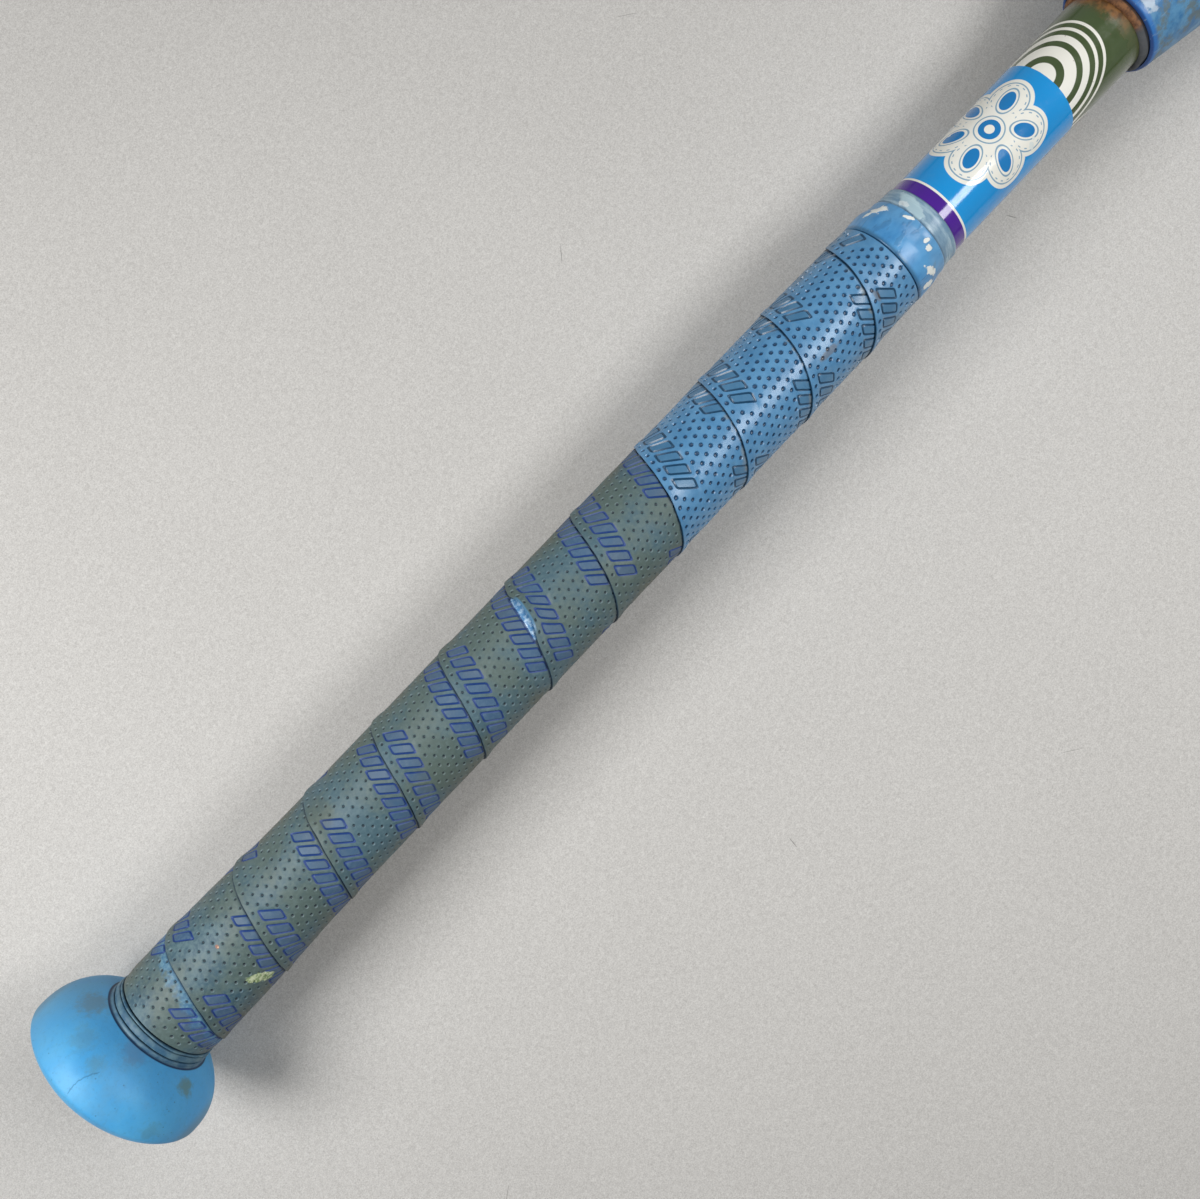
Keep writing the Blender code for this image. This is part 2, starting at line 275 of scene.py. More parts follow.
class Value:
    """What a node gives, with Python's operators standing for Math nodes."""

    def __init__(self, finish, socket):
        self.finish, self.socket = finish, socket

    def __rsub__(self, other):
        return self.finish.math("SUBTRACT", other, self)

    __add__ = __radd__ = operator("ADD")
    __sub__ = operator("SUBTRACT")
    __mul__ = __rmul__ = operator("MULTIPLY")
    __truediv__ = operator("DIVIDE")
    __abs__ = operator("ABSOLUTE")


class Nodes:
    """Short calls that add nodes to a tree."""

    def __init__(self, tree):
        self.tree = tree

    def put(self, socket, value):
        if isinstance(value, Value):
            self.tree.links.new(value.socket, socket)
        else:
            socket.default_value = value

    def node(self, kind, *values, **settings):
        """A node with its first inputs and its settings."""
        node = self.tree.nodes.new("ShaderNode" + kind)
        for key, value in settings.items():
            setattr(node, key, value)
        for socket, value in zip(node.inputs, values):
            self.put(socket, value)
        return node

    def math(self, operation, *values):
        return Value(self, self.node("Math", *values, operation=operation).outputs[0])

    def most(self, first, second):
        return self.math("MAXIMUM", first, second)

    def blend(self, share, first, second):
        """The first number where share is 0 and the second where it is 1."""
        node = self.node("Mix", share, data_type="FLOAT", clamp_factor=True)
        self.put(node.inputs[2], first)
        self.put(node.inputs[3], second)
        return Value(self, node.outputs[0])


class Finish(Nodes):
    """A procedural material."""

    def __init__(self, name, roughness=0.5, **fixed):
        self.material = bpy.data.materials.new(name)
        self.material.use_nodes = True
        super().__init__(self.material.node_tree)
        self.shader = self.tree.nodes["Principled BSDF"]
        self.put(self.shader.inputs["Roughness"], roughness)
        for key, value in fixed.items():
            self.put(self.shader.inputs[key.replace("_", " ")], value)
        self.colour = None
        metres = Value(self, self.node("TexCoord").outputs["Object"])
        origin = (-BUTT_X / MM, 0, -AXIS_Z / MM)
        scale = (1 / MM, 1 / MM, 1 / MM)
        scaled = self.node("VectorMath", metres, scale, origin, operation="MULTIPLY_ADD")
        self.where = Value(self, scaled.outputs[0])
        self.place, self.y, self.z = self.parts(self.where)

    def parts(self, vector):
        return [Value(self, output) for output in self.node("SeparateXYZ", vector).outputs]

    def vector(self, x, y, z=0.0):
        return Value(self, self.node("CombineXYZ", x, y, z).outputs[0])

    def attribute(self, name):
        node = self.node("Attribute", attribute_name=name)
        return self.parts(Value(self, node.outputs["Vector"]))

    def around(self, radius):
        """Millimetres round the bat from its top towards -Y, at a radius."""
        return self.math("ARCTAN2", self.y * -1.0, self.z) * radius

    def ramp(self, value, start, end):
        """0 at start and 1 at end, eased; start may be the higher one."""
        node = self.node("MapRange", value, start, end, interpolation_type="SMOOTHSTEP")
        return Value(self, node.outputs[0])

    def within(self, value, start, end, soft=0.1):
        """1 between start and end, with soft edges outside them."""
        return self.ramp(value, start - soft, start) * self.ramp(value, end + soft, end)

    def texture(self, kind, grain, stretch, at, shift):
        """A texture node with cells of this many millimetres, shifted by a vector."""
        scale = [1 / (grain * part) for part in stretch]
        mapping = self.node("Mapping", at or self.where, shift, (0, 0, 0), scale)
        node = self.node(kind, Value(self, mapping.outputs[0]))
        self.put(node.inputs["Scale"], 1.0)
        return node

    def noise(self, grain, detail=2.0, stretch=(1, 1, 1), at=None, seed=0.0, rough=0.5):
        """Noise from 0 to 1 with features of about this many millimetres."""
        node = self.texture("TexNoise", grain, stretch, at, (seed, -seed, seed))
        self.put(node.inputs["Detail"], detail)
        self.put(node.inputs["Roughness"], rough)
        return Value(self, node.outputs["Fac"])

    def clouds(self, start, end, *grain, **settings):
        """Noise made into patches: 0 where it is at start and 1 where it is at end."""
        return self.ramp(self.noise(*grain, **settings), start, end)

    def stray(self, width, *grain, **settings):
        """Noise that swings over this width, round 0."""
        return (self.noise(*grain, **settings) - 0.5) * width

    def cells(self, grain, stretch=(1, 1, 1), seed=0.0):
        """Distance to the nearest of scattered spots, in cell sizes."""
        node = self.texture("TexVoronoi", grain, stretch, None, (seed, seed, -seed))
        return Value(self, node.outputs["Distance"])

    def span(self, first, second):
        """The length of a vector with these two parts."""
        return self.math("SQRT", first * first + second * second)

    def mix(self, share, *colours):
        """The first colour where share is 0 and the second where it is 1."""
        node = self.node("Mix", share, data_type="RGBA", clamp_factor=True)
        for socket, colour in zip(node.inputs[6:8], colours):
            self.put(socket, colour if isinstance(colour, Value) else srgb(*colour))
        return Value(self, node.outputs[2])

    def distance(self, at, point):
        node = self.node("VectorMath", at, point, operation="DISTANCE")
        return Value(self, node.outputs["Value"])

    def lay(self, share, *tint):
        """Lays a colour, given as a Value, a tuple or three numbers, over what is there."""
        self.colour = self.mix(share, self.colour, tint[0] if len(tint) == 1 else tint)

    def patch(self, place, around, reach, rise, at, ragged=0.35, grain=1.2, soft=0.25, lean=0.0):
        """1 inside an uneven spot at a place along and round the bat."""
        along, side = self.parts(at)[:2]
        along, side = along - place, side - around
        along = along - side * lean
        rough = self.stray(ragged * 2.4, grain, 3, at=at, seed=place * 0.37)
        return self.ramp(self.span(along / reach, side / rise) + rough, 1 + soft, 1 - soft)

    def finish(self, roughness=None, height=None):
        """Connects the colour, a roughness and a height in millimetres to the shader."""
        self.put(self.shader.inputs["Base Color"], self.colour)
        if roughness is not None:
            self.put(self.shader.inputs["Roughness"], roughness)
        if height is not None:
            node = self.node("Bump")
            for name, value in (("Strength", 1.0), ("Distance", MM), ("Height", height)):
                self.put(node.inputs[name], value)
            self.put(self.shader.inputs["Normal"], Value(self, node.outputs[0]))
        return self


def knob_finish():
    """Moulded rubber, rubbed and dirtied by hands, with painted edge shade and a roll of tape
    colour round its neck.
    """
    f = Finish("knob_rubber_worn", 0.55, Specular_IOR_Level=0.42)
    place = f.place + f.y * NECK_LEAN - (KNOB_SHIFT + NECK_SHIFT)
    cloudy = f.noise(9, 4, seed=3, rough=0.6)
    f.colour = f.mix(f.ramp(cloudy, 0.35, 0.7), (74, 167, 226), (89, 179, 232))
    neck = f.ramp(place + f.stray(8, 7, 3, seed=8), 9, 23)
    f.lay(neck * 0.45, 62, 144, 200)
    # A greyish film in patches, with painted edge shade greying the knob's +Y side.
    film = f.clouds(0.5, 0.72, 11, 4, seed=14, rough=0.62)
    film = f.most(film * 0.3, f.ramp(f.y + (cloudy - 0.5) * 14, 9, 24) * 0.5)
    f.lay(film, 102, 150, 176)
    for at, side, up, size, share, tint in (
        (20.9, -15.4, 9.6, 3.2, 0.7, (92, 119, 96)),
        (12.3, -16.7, 18.1, 3.4, 0.3, (92, 129, 121)),
        (17.8, 9.7, 19.1, 4.4, 0.3, (98, 131, 135)),
        (16.9, 3.3, 21.9, 3.0, 0.35, (94, 129, 125)),
        (20.8, 14.6, 10.2, 5.5, 0.5, (105, 119, 111)),
        (22.1, -1.0, 15.7, 4.6, 0.4, (96, 119, 148)),
    ):
        near = f.distance(f.where, (at, side, up))
        near = near + f.stray(size * 1.5, 1.6, 4, seed=at, rough=0.65)
        f.lay(f.ramp(near, size, size * 0.3) * share, *tint)
    # Greyer round the outline seen from above and on the butt face: painted edge shade, with some
    # soil.
    edge_shade_and_soil = f.most(f.ramp(abs(f.y), 21.8, 24.2), f.ramp(f.place, 2.6, 0.4))
    f.lay(edge_shade_and_soil * 0.5, 105, 125, 133)
    specks = f.ramp(f.cells(1.7, seed=5), 0.15, 0.06) * f.clouds(0.46, 0.6, 6, 2, seed=21)
    f.lay(specks * 0.5, 50, 88, 113)
    f.lay(f.clouds(0.5, 0.75, 0.9, 3, seed=25, rough=0.7) * 0.22, 73, 119, 146)
    off = abs(f.span(f.place - 11.38, f.y + 3.59) - 7.22 + f.stray(0.5, 0.8, 2, seed=35))
    scratch = f.ramp(off, 0.2, 0.06) * f.ramp(f.y, 1.2, 1.8)
    scratch = scratch * f.ramp(f.place, 8.6, 9.6) * f.ramp(f.z, 15, 18)
    f.lay(scratch * 0.4, 41, 79, 105)

    mottle = f.noise(2.4, 4, seed=13, rough=0.62)
    rolled = f.mix(f.ramp(mottle, 0.32, 0.7), (53, 94, 125), (94, 127, 144))
    rolled = f.mix(f.ramp(place, 22.6, 22.4), rolled, (0, 36, 73))
    f.lay(f.ramp(place, 22.2, 22.35), rolled)
    grain = f.noise(0.35, 3, seed=2) * 0.02 + f.noise(2.2, 2, seed=9) * 0.05
    return f.finish(f.blend(film, 0.5, 0.66), grain - scratch * 0.05)


def tape_finish():
    """Dimpled grip polymer: dulled by dirt towards the knob, clean blue towards the band."""
    f = Finish("grip_polymer_worn", 0.5, Specular_IOR_Level=0.7)
    turns, across, lift = f.attribute("strip")
    hole, outline, fill = f.attribute("form")
    around = f.around(WOUND_RADIUS)
    at = f.vector(f.place, around)
    dirty = f.ramp(turns + f.stray(0.12, 6, 2, seed=4), 6.7, 6.3)
    mottle = f.noise(4.5, 4, seed=11, rough=0.6)
    fine = f.noise(0.9, 3, seed=6, rough=0.6)

    clean = f.mix(f.ramp(mottle, 0.3, 0.7), (72, 130, 175), (92, 148, 191))
    mixed = mottle + (fine - 0.5) * 0.7
    even = f.ramp(turns, 0.4, 1.6) * 0.65
    blotched = f.blend(even, f.ramp(mixed, 0.34, 0.68), 0.5)
    grimy = f.mix(blotched, (53, 87, 102), (85, 113, 121))
    olive = f.ramp(f.noise(13, 3, seed=31) + (fine - 0.5) * 0.25, 0.36, 0.62)
    grimy = f.mix(olive * 0.7, grimy, (83, 97, 85))
    f.colour = f.mix(dirty, clean, grimy)

    f.lay(f.ramp(fine, 0.4, 0.8) * 0.14, 128, 157, 165)

    side = f.ramp(abs(around), 11, 20)
    brown = side * f.ramp(f.place, 235, 270) * f.clouds(0.35, 0.6, 4, 3, seed=17)
    f.lay(brown * 0.5, 107, 100, 78)
    rubbed = f.ramp(f.noise(7, 3, seed=53) + (fine - 0.5) * 0.3, 0.3, 0.6)
    f.lay(side * dirty * rubbed * 0.6, 92, 85, 67)

    # Next to the first lap the grime stops short of clean, mottled polymer.
    ragged = across + f.stray(9, 2.6, 4, seed=61, rough=0.65)
    exposed = f.ramp(ragged, 19.4, 22.6) * f.ramp(turns, -0.4, -0.62)
    f.lay(exposed * 0.75, f.mix(f.ramp(fine, 0.35, 0.7), (55, 115, 157), (109, 157, 181)))

    clean_bar = f.mix(0.5, f.colour, (48, 92, 121))
    dull_bar = f.mix(0.42, f.colour, (42, 85, 146))
    f.lay(fill * 0.9, f.mix(dirty, clean_bar, dull_bar))
    line = f.mix(dirty, (11, 58, 89), (5, 55, 128))
    f.lay(f.ramp(outline, 0.0, f.blend(dirty, 0.3, 0.45)) * 0.9, line)
    # Dimples: a paler rim, partly rubbed wear and partly a painted highlight, and a dark pit of
    # painted shade with dirt.
    rim = f.within(hole, 0.12, 0.4, 0.1)
    f.lay(rim * f.blend(dirty, 0.0, 0.3), 128, 155, 165)
    pit = f.mix(dirty, (0, 48, 85), (0, 28, 45))
    f.lay(f.ramp(hole, f.blend(dirty, 0.2, 0.5), f.blend(dirty, 0.85, 0.95)) * 0.88, pit)

    # Painted shade with grime along each lap line, next to the edge of the turn above.
    lap_shade_and_grime = f.ramp(across, 23.0, 23.5) * f.ramp(across, 25.9, 24.4) * f.ramp(lift, 0.4, 0.1)
    beige = f.clouds(0.5, 0.62, 3.2, 3, seed=41) * f.ramp(across, 22.0, 23.2)
    f.lay(beige * (1.0 - dirty) * 0.5, 146, 142, 121)
    f.lay(lap_shade_and_grime * 0.85, 0, 34, 60)
    # Painted shade on the wall of the strip's lapping edge.
    f.lay(f.ramp(across, 0.12, 0.03) * 0.8, 0, 50, 78)

    # Where the edge has lifted, the clean polymer under it shows; its paler blue is a painted
    # highlight.
    bare = f.ramp(lift, 0.12, 0.3) * f.ramp(across, 22.9, 23.4)
    f.lay(bare, f.mix(f.ramp(fine, 0.4, 0.66), (76, 134, 185), (173, 206, 232)))
    # A dark line beside the lifted edge: painted shade under it.
    f.lay(f.within(across, 22.9, 23.3, 0.2) * f.ramp(lift, 0.05, 0.2) * 0.8, 0, 42, 98)
    bare = f.most(bare, f.ramp(lift, 0.3, 0.8) * f.ramp(across, 0.9, 0.5))
    f.lay(f.ramp(lift, 0.3, 0.8) * f.ramp(across, 0.9, 0.5) * 0.8, 85, 136, 175)

    for place, side_at, reach, rise, share, tint in (
        (52.8, -2.0, 0.42, 0.5, 0.75, (161, 94, 62)),
        (52.9, -1.8, 0.2, 0.2, 0.8, (230, 187, 146)),
        (92.0, -8.0, 3.5, 5.0, 0.25, (89, 94, 76)),
        (118.0, 9.0, 5.0, 5.0, 0.25, (85, 98, 85)),
        (258.5, 6.0, 3.0, 0.9, 0.5, (107, 89, 69)),
        (276.5, 5.0, 0.7, 1.8, 0.5, (111, 92, 69)),
    ):
        f.lay(f.patch(place, side_at, reach, rise, at) * share, *tint)
    flake = f.patch(52.9, 11.2, 1.75, 3.1, at, ragged=0.42, grain=1.2, soft=0.1, lean=0.6)
    chalk = f.clouds(0.38, 0.62, 1.1, 4, seed=71, rough=0.65)
    f.lay(flake * 0.92, f.mix(chalk, (128, 153, 98), (214, 224, 185)))

    roughness = f.blend(dirty, 0.34, 0.58) + (mottle - 0.5) * 0.1 - bare * dirty * 0.25
    height = f.noise(0.45, 3, seed=12) * f.blend(dirty, 0.003, 0.014)
    height = height + f.noise(2.4, 2, seed=15) * 0.01 + flake * 0.12
    return f.finish(roughness, height)


def band_finish():
    """The polymer band that holds the tape's end, chipped and scuffed."""
    f = Finish("band_polymer_chipped", 0.34)
    around = f.around(12.8)
    at = f.vector(f.place, around)
    mottle = f.noise(5, 4, seed=7, stretch=(1.6, 1, 1), rough=0.6)
    f.colour = f.mix(f.ramp(mottle, 0.3, 0.7), (65, 135, 192), (93, 162, 214))
    f.lay(f.ramp(f.place, 291.5, 296) * 0.3, 121, 170, 204)
    crease = f.clouds(0.56, 0.66, 2.2, 3, seed=19, stretch=(2.2, 0.8, 0.8))
    f.lay(crease * 0.35, 58, 104, 147)
    chips = None
    for place, side, reach, rise in (
        (294.0, -11.5, 1.6, 2.0),
        (291.3, -13.0, 0.9, 0.8),
        (296.0, -3.0, 0.5, 1.9),
        (295.0, 4.5, 0.8, 0.7),
        (294.2, 6.3, 0.9, 0.9),
        (292.0, 12.0, 1.0, 2.6),
        (290.2, 15.6, 1.6, 1.4),
        (293.5, 27.0, 1.3, 2.2),
        (289.5, -27.0, 1.2, 1.6),
    ):
        chip = f.patch(place, side, reach, rise, at, ragged=0.75, grain=1.3, soft=0.1, lean=0.35)
        chips = chip if chips is None else f.most(chips, chip)
    f.lay(chips, 235, 239, 235)
    # Darker on the rounded end by the tape: painted shade, with grime.
    f.lay(f.ramp(f.place, 288.2, 287.0) * 0.6, 41, 72, 93)
    brown = f.clouds(0.58, 0.7, 3, 3, seed=29) * f.ramp(abs(around), 8, 14)
    f.lay(brown * 0.4, 116, 114, 95)
    height = mottle * 0.04 + crease * 0.05 + chips * 0.1 + f.noise(0.5, 2, seed=3) * 0.004
    return f.finish(f.blend(chips, 0.3, 0.6), height)


def film_finish():
    """Clear film over the tape's edge, yellowed and lifting in places, with painted highlights."""
    f = Finish("clear_film_aged", 0.25, Alpha=0.86)
    streak = f.noise(2.5, 4, seed=5, stretch=(0.5, 2.5, 2.5), rough=0.6)
    f.colour = f.mix(f.ramp(streak, 0.35, 0.68), (118, 153, 180), (168, 196, 212))
    at = f.vector(f.place, f.around(11.7))
    # The lifted fold is pale partly as a painted highlight, and the glint is a painted highlight.
    fold = f.patch(299.2, -4.6, 1.6, 4.6, at, ragged=0.4, grain=1.6, soft=0.15, lean=-0.25)
    f.lay(fold * 0.75, 194, 222, 230)
    glint = f.patch(298.4, -6.6, 0.8, 1.5, at, ragged=0.7, grain=0.8, soft=0.1)
    f.lay(glint * 0.9, 222, 235, 239)
    ends = f.most(f.ramp(f.place, 297.7, 297.2), f.ramp(f.place, 301.3, 301.8))
    f.lay(ends * 0.35, 63, 87, 108)
    return f.finish(f.blend(streak, 0.15, 0.36), streak * 0.05 + fold * 0.12)


def handle_finish():
    """Lacquered handle: purple and white rings, a blue and an olive part with plain ornament."""
    f = Finish("handle_paint_worn", 0.16, Coat_Weight=0.5, Coat_Roughness=0.06)
    place, around = f.place, f.around(HANDLE_RADIUS)
    at = f.vector(place, around)
    cloudy = f.noise(12, 3, seed=2)
    cream = f.mix(cloudy, (236, 234, 222), (247, 246, 238))

    # The ornament repeats twice round the handle.
    repeat = 2 * math.pi * HANDLE_RADIUS / 2
    turned = f.math("WRAP", around + 3.5, repeat / 2, -repeat / 2)

    # A rosette of six lobes on the blue part, with blue petals, fine lines and rows of dots.
    along = place - 325.9
    far = f.span(along, turned)
    heading = f.math("ARCTAN2", turned, along) + 0.2
    fold = f.math("WRAP", heading, math.pi / 6, -math.pi / 6)
    out, side = far * f.math("COSINE", fold) - 9.3, far * f.math("SINE", fold)
    lobe = f.span(out, side)
    edge = f.math("MINIMUM", lobe - 6.1, far - 10.4)
    oval = f.math("SQRT", (out + 0.6) * (out + 0.6) / 8.0 + side * side / 2.9)
    marks = f.within(edge, -1.3, -1.05, 0.1)
    marks = f.most(marks, f.within(oval, 1.28, 1.4, 0.05))
    marks = f.most(marks, f.within(far, 3.6, 3.85, 0.1))
    beads = abs(f.math("WRAP", f.math("ARCTAN2", side, out) * (13 / math.pi), 1.0, -1.0))
    dots = f.within(lobe, 4.15, 4.3, 0.12) * f.ramp(beads, 0.45, 0.3)
    marks = f.most(marks, dots * f.ramp(edge, -1.5, -1.7) * f.ramp(out, -3.4, -3.0))
    petals = f.most(f.ramp(oval, 1.04, 0.98), f.within(far, 1.3, 2.7, 0.08))
    blue = f.mix(cloudy, (0, 138, 210), (0, 154, 226))
    ornament = f.mix(marks * 0.8, cream, (76, 140, 177))
    ornament = f.mix(petals, ornament, (0, 121, 189))
    f.colour = f.mix(f.ramp(edge, 0.08, -0.08), blue, ornament)

    # Ripples across the olive part.
    olive = f.mix(f.noise(5, 3, seed=9), (54, 71, 33), (73, 91, 52))
    far = f.span(place - 344.4, turned)
    ripples = f.ramp(far, 3.6, 3.4)
    for inner, outer in ((5.6, 8.6), (10.4, 12.2), (13.9, 14.7), (16.3, 17.0)):
        ripples = f.most(ripples, f.within(far, inner, outer, 0.12))
    ripples = ripples * f.ramp(place, 366.6, 366.2)
    olive = f.mix(ripples, olive, cream)
    f.lay(f.ramp(place + f.stray(0.5, 7, 2, seed=12), 344.7, 344.85), olive)

    purple = f.mix(cloudy, (59, 0, 134), (80, 14, 150))
    f.lay(f.ramp(place, 305.95, 305.85), cream)
    f.lay(f.ramp(place, 305.35, 305.25), purple)
    f.lay(f.ramp(place, 302.1, 301.7), 69, 102, 125)

    # Wear: small chips, a rust-brown stain by the joint, and grime.
    for spot, side, size in (
        (331.0, 7.3, 0.75),
        (332.4, 6.2, 0.4),
        (320.5, -12, 0.35),
        (338, 20, 0.6),
    ):
        chip = f.patch(spot, side, size, size * 1.3, at, ragged=0.5, grain=0.7, soft=0.1)
        f.lay(chip, 224, 230, 226)
    upper = f.ramp(abs(around + 8), 15, 8)
    stain = f.ramp(place + f.stray(7, 2.6, 4, seed=33, rough=0.65), 364.4, 368.4)
    rust = f.clouds(0.35, 0.65, 1.6, 4, seed=37, rough=0.6)
    shown = f.blend(upper, 0.12, 0.94)
    f.lay(stain * shown, f.mix(rust, (85, 52, 14), (136, 91, 44)))
    specks = f.ramp(f.cells(1.7, seed=3), 0.16, 0.07) * f.clouds(0.52, 0.62, 4, 2, seed=44)
    f.lay(specks * f.ramp(place, 344, 350) * 0.7, 106, 76, 44)
    dull = f.clouds(0.5, 0.72, 6, 4, seed=51, rough=0.65)
    f.lay(dull * 0.03, 146, 156, 146)
    roughness = f.blend(stain, 0.13, 0.6) + dull * 0.1
    height = f.noise(5, 3, seed=6) * 0.05 - stain * f.noise(0.8, 3) * 0.08
    return f.finish(roughness, height)


def bushing_finish():
    """Grey rubber, caked with rust-brown dirt on top where it shows at the barrel's rim, and
    painted dark inside the rim.
    """
    f = Finish("joint_rubber_dusty", 0.75, Specular_IOR_Level=0.35)
    around = f.around(12.0)
    rubber = f.mix(f.noise(1.8, 4, seed=8, rough=0.65), (62, 66, 72), (100, 102, 104))
    rust = f.clouds(0.35, 0.65, 1.3, 4, seed=5, rough=0.65)
    dirt = f.mix(rust, (92, 60, 40), (142, 98, 62))
    ragged = abs(around + 8) + f.stray(8, 3, 3, seed=4)
    f.colour = f.mix(f.ramp(ragged, 16, 11) * 0.95, rubber, dirt)
    # Painted shade where the bushing runs into the barrel's rim.
    f.lay(f.ramp(f.place, 370.0, 370.35) * 0.8, 24, 26, 34)
    return f.finish(None, f.noise(0.5, 3) * 0.06)


def barrel_finish():
    """Painted barrel: weathered at the joint, with plain rings and ball scuffs further out."""
    f = Finish("barrel_paint_worn", 0.3, Coat_Weight=0.2, Coat_Roughness=0.12)
    place = f.place
    cloudy = f.noise(26, 4, seed=4, rough=0.6)
    blue = f.mix(cloudy, (10, 97, 174), (37, 118, 194))
    bleached = f.clouds(0.35, 0.65, 4, 4, seed=13, rough=0.65)
    weathered = f.mix(bleached, (37, 108, 161), (89, 145, 184))
    dirt = f.clouds(0.46, 0.6, 5, 5, seed=23, rough=0.68)
    weathered = f.mix(dirt * 0.8, weathered, (99, 110, 106))
    far = f.ramp(place + f.stray(70, 22, 4, seed=5, rough=0.65), 395, 470)
    f.colour = f.mix(far, weathered, blue)
    f.lay(f.ramp(place, 372.6, 371.6) * 0.85, 29, 108, 184)
    # Painted shade on the rim's end face beside the gap.
    f.lay(f.ramp(place, 371.2, 370.8) * 0.8, 0, 48, 116)

    cream = (236, 235, 224)
    for start, end, tint in (
        (540.0, 543.0, (73, 10, 143)),
        (544.6, 546.0, cream),
        (547.6, 548.4, cream),
        (806.0, 807.0, cream),
        (808.8, 810.4, cream),
        (812.2, 816.0, (73, 10, 143)),
        (818.0, 846.0, (67, 84, 48)),
        (846.6, 848.0, cream),
    ):
        f.lay(f.within(place, start, end, 0.12), tint)

    struck = f.within(place, 610, 770, 60)
    scuffs = f.clouds(0.56, 0.68, 9, 5, seed=61, stretch=(1.7, 1, 1), rough=0.7) * struck
    f.lay(scuffs * 0.4, 116, 135, 147)
    smears = f.ramp(f.cells(34, seed=9, stretch=(1.3, 1, 1)), 0.36, 0.22)
    smears = smears * f.clouds(0.42, 0.62, 3, 4, seed=71, rough=0.7) * struck
    f.lay(smears * 0.5, 147, 151, 116)
    hairline = f.clouds(0.66, 0.72, 3, 2, seed=81, stretch=(9, 0.35, 0.35))
    f.lay(hairline * 0.35, 147, 167, 184)
    # A pale patch on top just past the rim: a painted highlight.
    at_rim = f.vector(place, f.around(14.4))
    white = f.patch(373.6, 3.0, 1.5, 3.2, at_rim, ragged=0.8, grain=1.4, soft=0.2)
    f.lay(white * 0.7, 194, 208, 220)
    roughness = f.blend(far, 0.5, 0.24) + scuffs * 0.2 + dirt * 0.1 * (1.0 - far)
    height = f.noise(18, 2, seed=6) * 0.08 - scuffs * 0.02 + dirt * (1.0 - far) * 0.03
    return f.finish(roughness, height)


def cap_finish():
    """Moulded end cap, finely grained and rubbed at its edge."""
    f = Finish("cap_plastic_grained", 0.5, Specular_IOR_Level=0.4)
    middle = f.span(f.y, f.z)
    rubbed = f.within(middle, 22.5, 27.5, 1.5) * f.clouds(0.44, 0.64, 3, 4, seed=6, rough=0.65)
    f.colour = f.mix(f.noise(7, 3, seed=3), (34, 56, 90), (42, 68, 104))
    f.lay(rubbed * 0.45, 104, 120, 138)
    grain = f.cells(0.8) * 0.05 + f.noise(0.4, 2) * 0.02
    return f.finish(f.blend(rubbed, 0.46, 0.62), grain)


def laminate_finish():
    """Wound composite, with a fine crossed weave."""
    f = Finish("liner_laminate_woven", 0.35)
    around = f.around(25.9)
    weave = f.math("SINE", (f.place + around) * 2.4) * f.math("SINE", (f.place - around) * 2.4)
    f.colour = f.mix(f.ramp(weave, -0.4, 0.4), (26, 27, 30), (44, 45, 49))
    return f.finish(None, weave * 0.04)


def foam_finish():
    """Closed-cell foam."""
    f = Finish("plug_foam_cells", 0.9)
    bubbles = f.cells(0.9)
    f.colour = f.mix(bubbles, (168, 164, 152), (204, 200, 190))
    return f.finish(None, bubbles * 0.2)


def floor_finish():
    """Pale matt board with a faint mottled grain and a few specks and fibres."""
    f = Finish("floor_board", 0.85, Specular_IOR_Level=0.2)
    grain = f.noise(0.36, 2, seed=1, rough=0.7)
    soft = f.noise(1.5, 3, seed=2, rough=0.6)
    broad = f.noise(70, 3, seed=3)
    tone = (grain - 0.5) * 1.5 + (soft - 0.5) * 0.45 + (broad - 0.5) * 0.15
    f.colour = f.mix(tone + 0.5, (178, 175, 171), (230, 228, 224))
    dark = f.ramp(f.cells(26, seed=7), 0.017, 0.008) * f.clouds(0.5, 0.56, 30, 2, seed=5)
    f.lay(dark * 0.7, 96, 92, 88)
    at = f.vector(f.place, f.y)
    draw = random.Random(5)
    ragged = {"ragged": 0.5, "grain": 0.9, "soft": 0.2}
    for _ in range(16):
        place, side, lean = draw.uniform(-60, 420), draw.uniform(-170, 150), draw.uniform(-1.5, 1.5)
        fibre = f.patch(place, side, 0.13, draw.uniform(0.8, 2.0), at, lean=lean, **ragged)
        f.lay(fibre * 0.6, 104, 100, 96)
    return f.finish(None, grain * 0.05)


# The wound tape.


def strip_points(along, across):
    """(turned, over) on the strip, from distances along it and square across it."""
    return along * SLOPE_COS - across * SLOPE_SIN, across / SLOPE_COS


def edge_place(turned):
    """Where the strip's knob-side edge lies after it has turned this far."""
    return EDGE_START + PITCH * turned / TURN


def strip_corners(inset):
    """The strip's corners as (turned, over), cut square to the bat and moved in by inset."""
    low, high = inset, STRIP - inset
    first, last = TAPE_FROM + inset, TAPE_TO - inset
    corners = ((first, low), (last, low), (last, high), (first, high))
    slant = PITCH / TURN
    return [np.array([(place - EDGE_START - over) / slant, over]) for place, over in corners]


def strip_outline(inset):
    """The strip's outline moved in by inset, which always has as many points."""
    whole, moved = strip_corners(0.0), strip_corners(inset)
    points = []
    for i, step in enumerate(OUTLINE_STEPS):
        j = (i + 1) % 4
        count = max(2, round(float(np.linalg.norm(whole[j] - whole[i])) / step))
        shares = np.arange(count)[:, None] / count
        points.append(moved[i] + (moved[j] - moved[i]) * shares)
    return np.concatenate(points)


def fits(turned, over, room):
    """Whether points on the strip are this far inside its outline."""
    place = edge_place(turned) + over
    inside = (over > room) & (over < STRIP - room)
    return inside & (place > TAPE_FROM + room) & (place < TAPE_TO - room)


